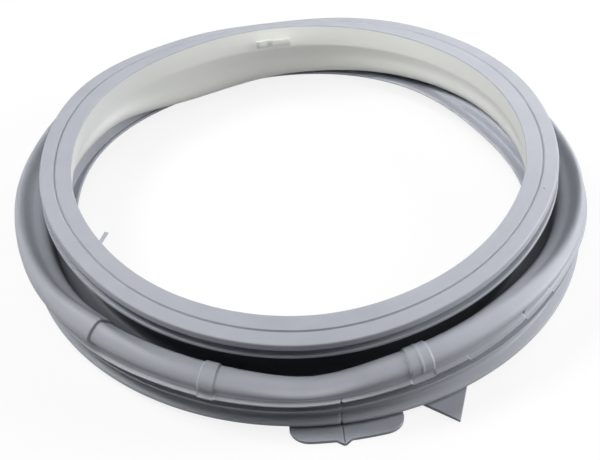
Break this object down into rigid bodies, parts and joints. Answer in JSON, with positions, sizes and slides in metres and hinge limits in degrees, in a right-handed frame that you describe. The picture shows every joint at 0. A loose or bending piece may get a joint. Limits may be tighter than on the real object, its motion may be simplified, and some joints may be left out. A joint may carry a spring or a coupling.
{
  "type": "washing machine door seal",
  "caption": "Moulded rubber bellows seal for a front-loading washer: clamp head with a groove, fold, round tube and channelled rear rim with front tabs.",
  "frame": {"origin": "under the middle of the seal's bounding box, on the foot of the rear rim", "axes": "+Z from the rear rim (tub side) up to the clamp head (door side); +Y from the front tabs to the back"},
  "size_m": [0.3904, 0.3966, 0.0663],
  "materials": {
    "grey_rubber": "satin moulded grey EPDM"
  },
  "bodies": {
    "root": {"door_seal": "grey_rubber"}
  },
  "joints": []
}
